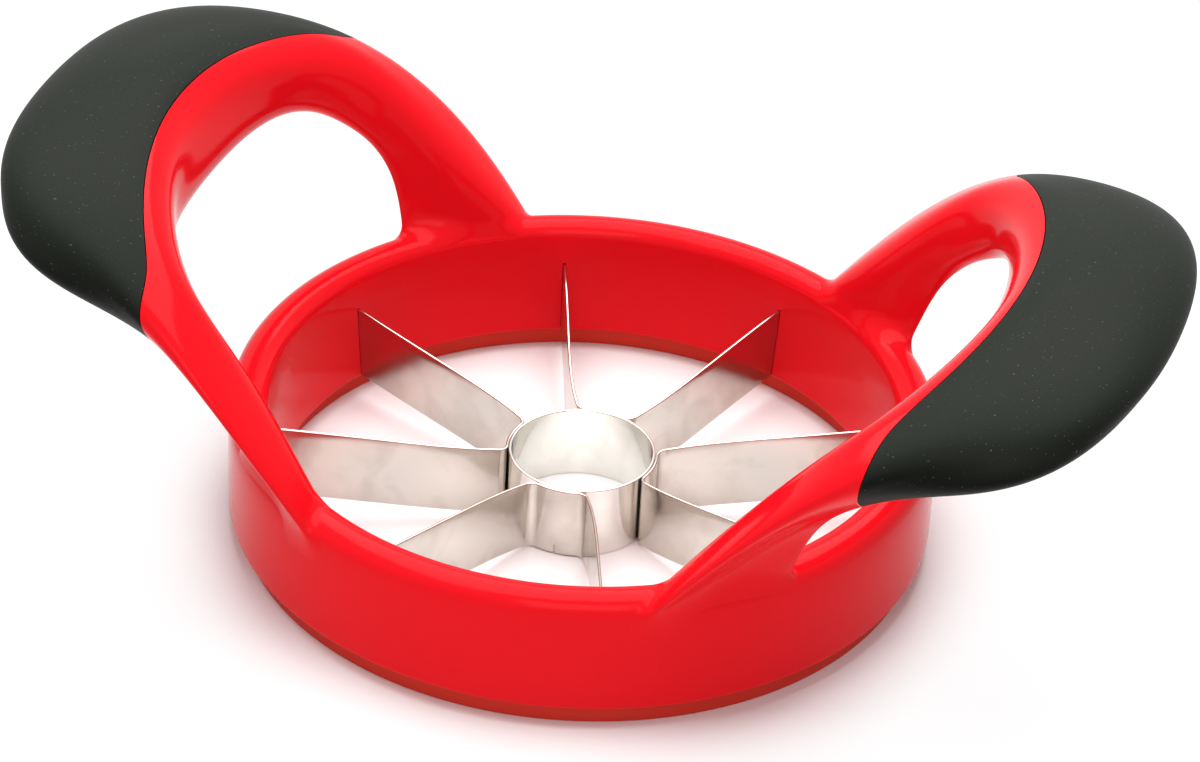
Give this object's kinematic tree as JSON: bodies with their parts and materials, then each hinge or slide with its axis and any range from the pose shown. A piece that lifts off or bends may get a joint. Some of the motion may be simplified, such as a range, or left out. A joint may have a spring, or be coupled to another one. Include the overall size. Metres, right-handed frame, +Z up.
{
  "type": "apple slicer wedger press",
  "caption": "Round apple slicer and corer: a moulded ring with arched side handles and soft grips presses a corer tube and radial steel blades down through an apple.",
  "frame": {"origin": "on the ring's axis at the height of the corer's bottom rim, on which the slicer stands", "axes": "+Z up along the ring's axis, +X towards the middle of one handle, +Y across the handles"},
  "size_m": [0.1918, 0.1172, 0.0671],
  "materials": {
    "red_plastic": "glossy moulded plastic",
    "dark_rubber": "matte soft-touch overmould",
    "stainless_steel": "rolled stainless sheet, slightly satin"
  },
  "bodies": {
    "root": {"body": "red_plastic", "grip_right": "dark_rubber", "grip_left": "dark_rubber", "corer_tube": "stainless_steel", "blade_strip_east": "stainless_steel", "blade_strip_north": "stainless_steel", "blade_strip_west": "stainless_steel", "blade_strip_south": "stainless_steel", "base_ring": "red_plastic"}
  },
  "joints": []
}
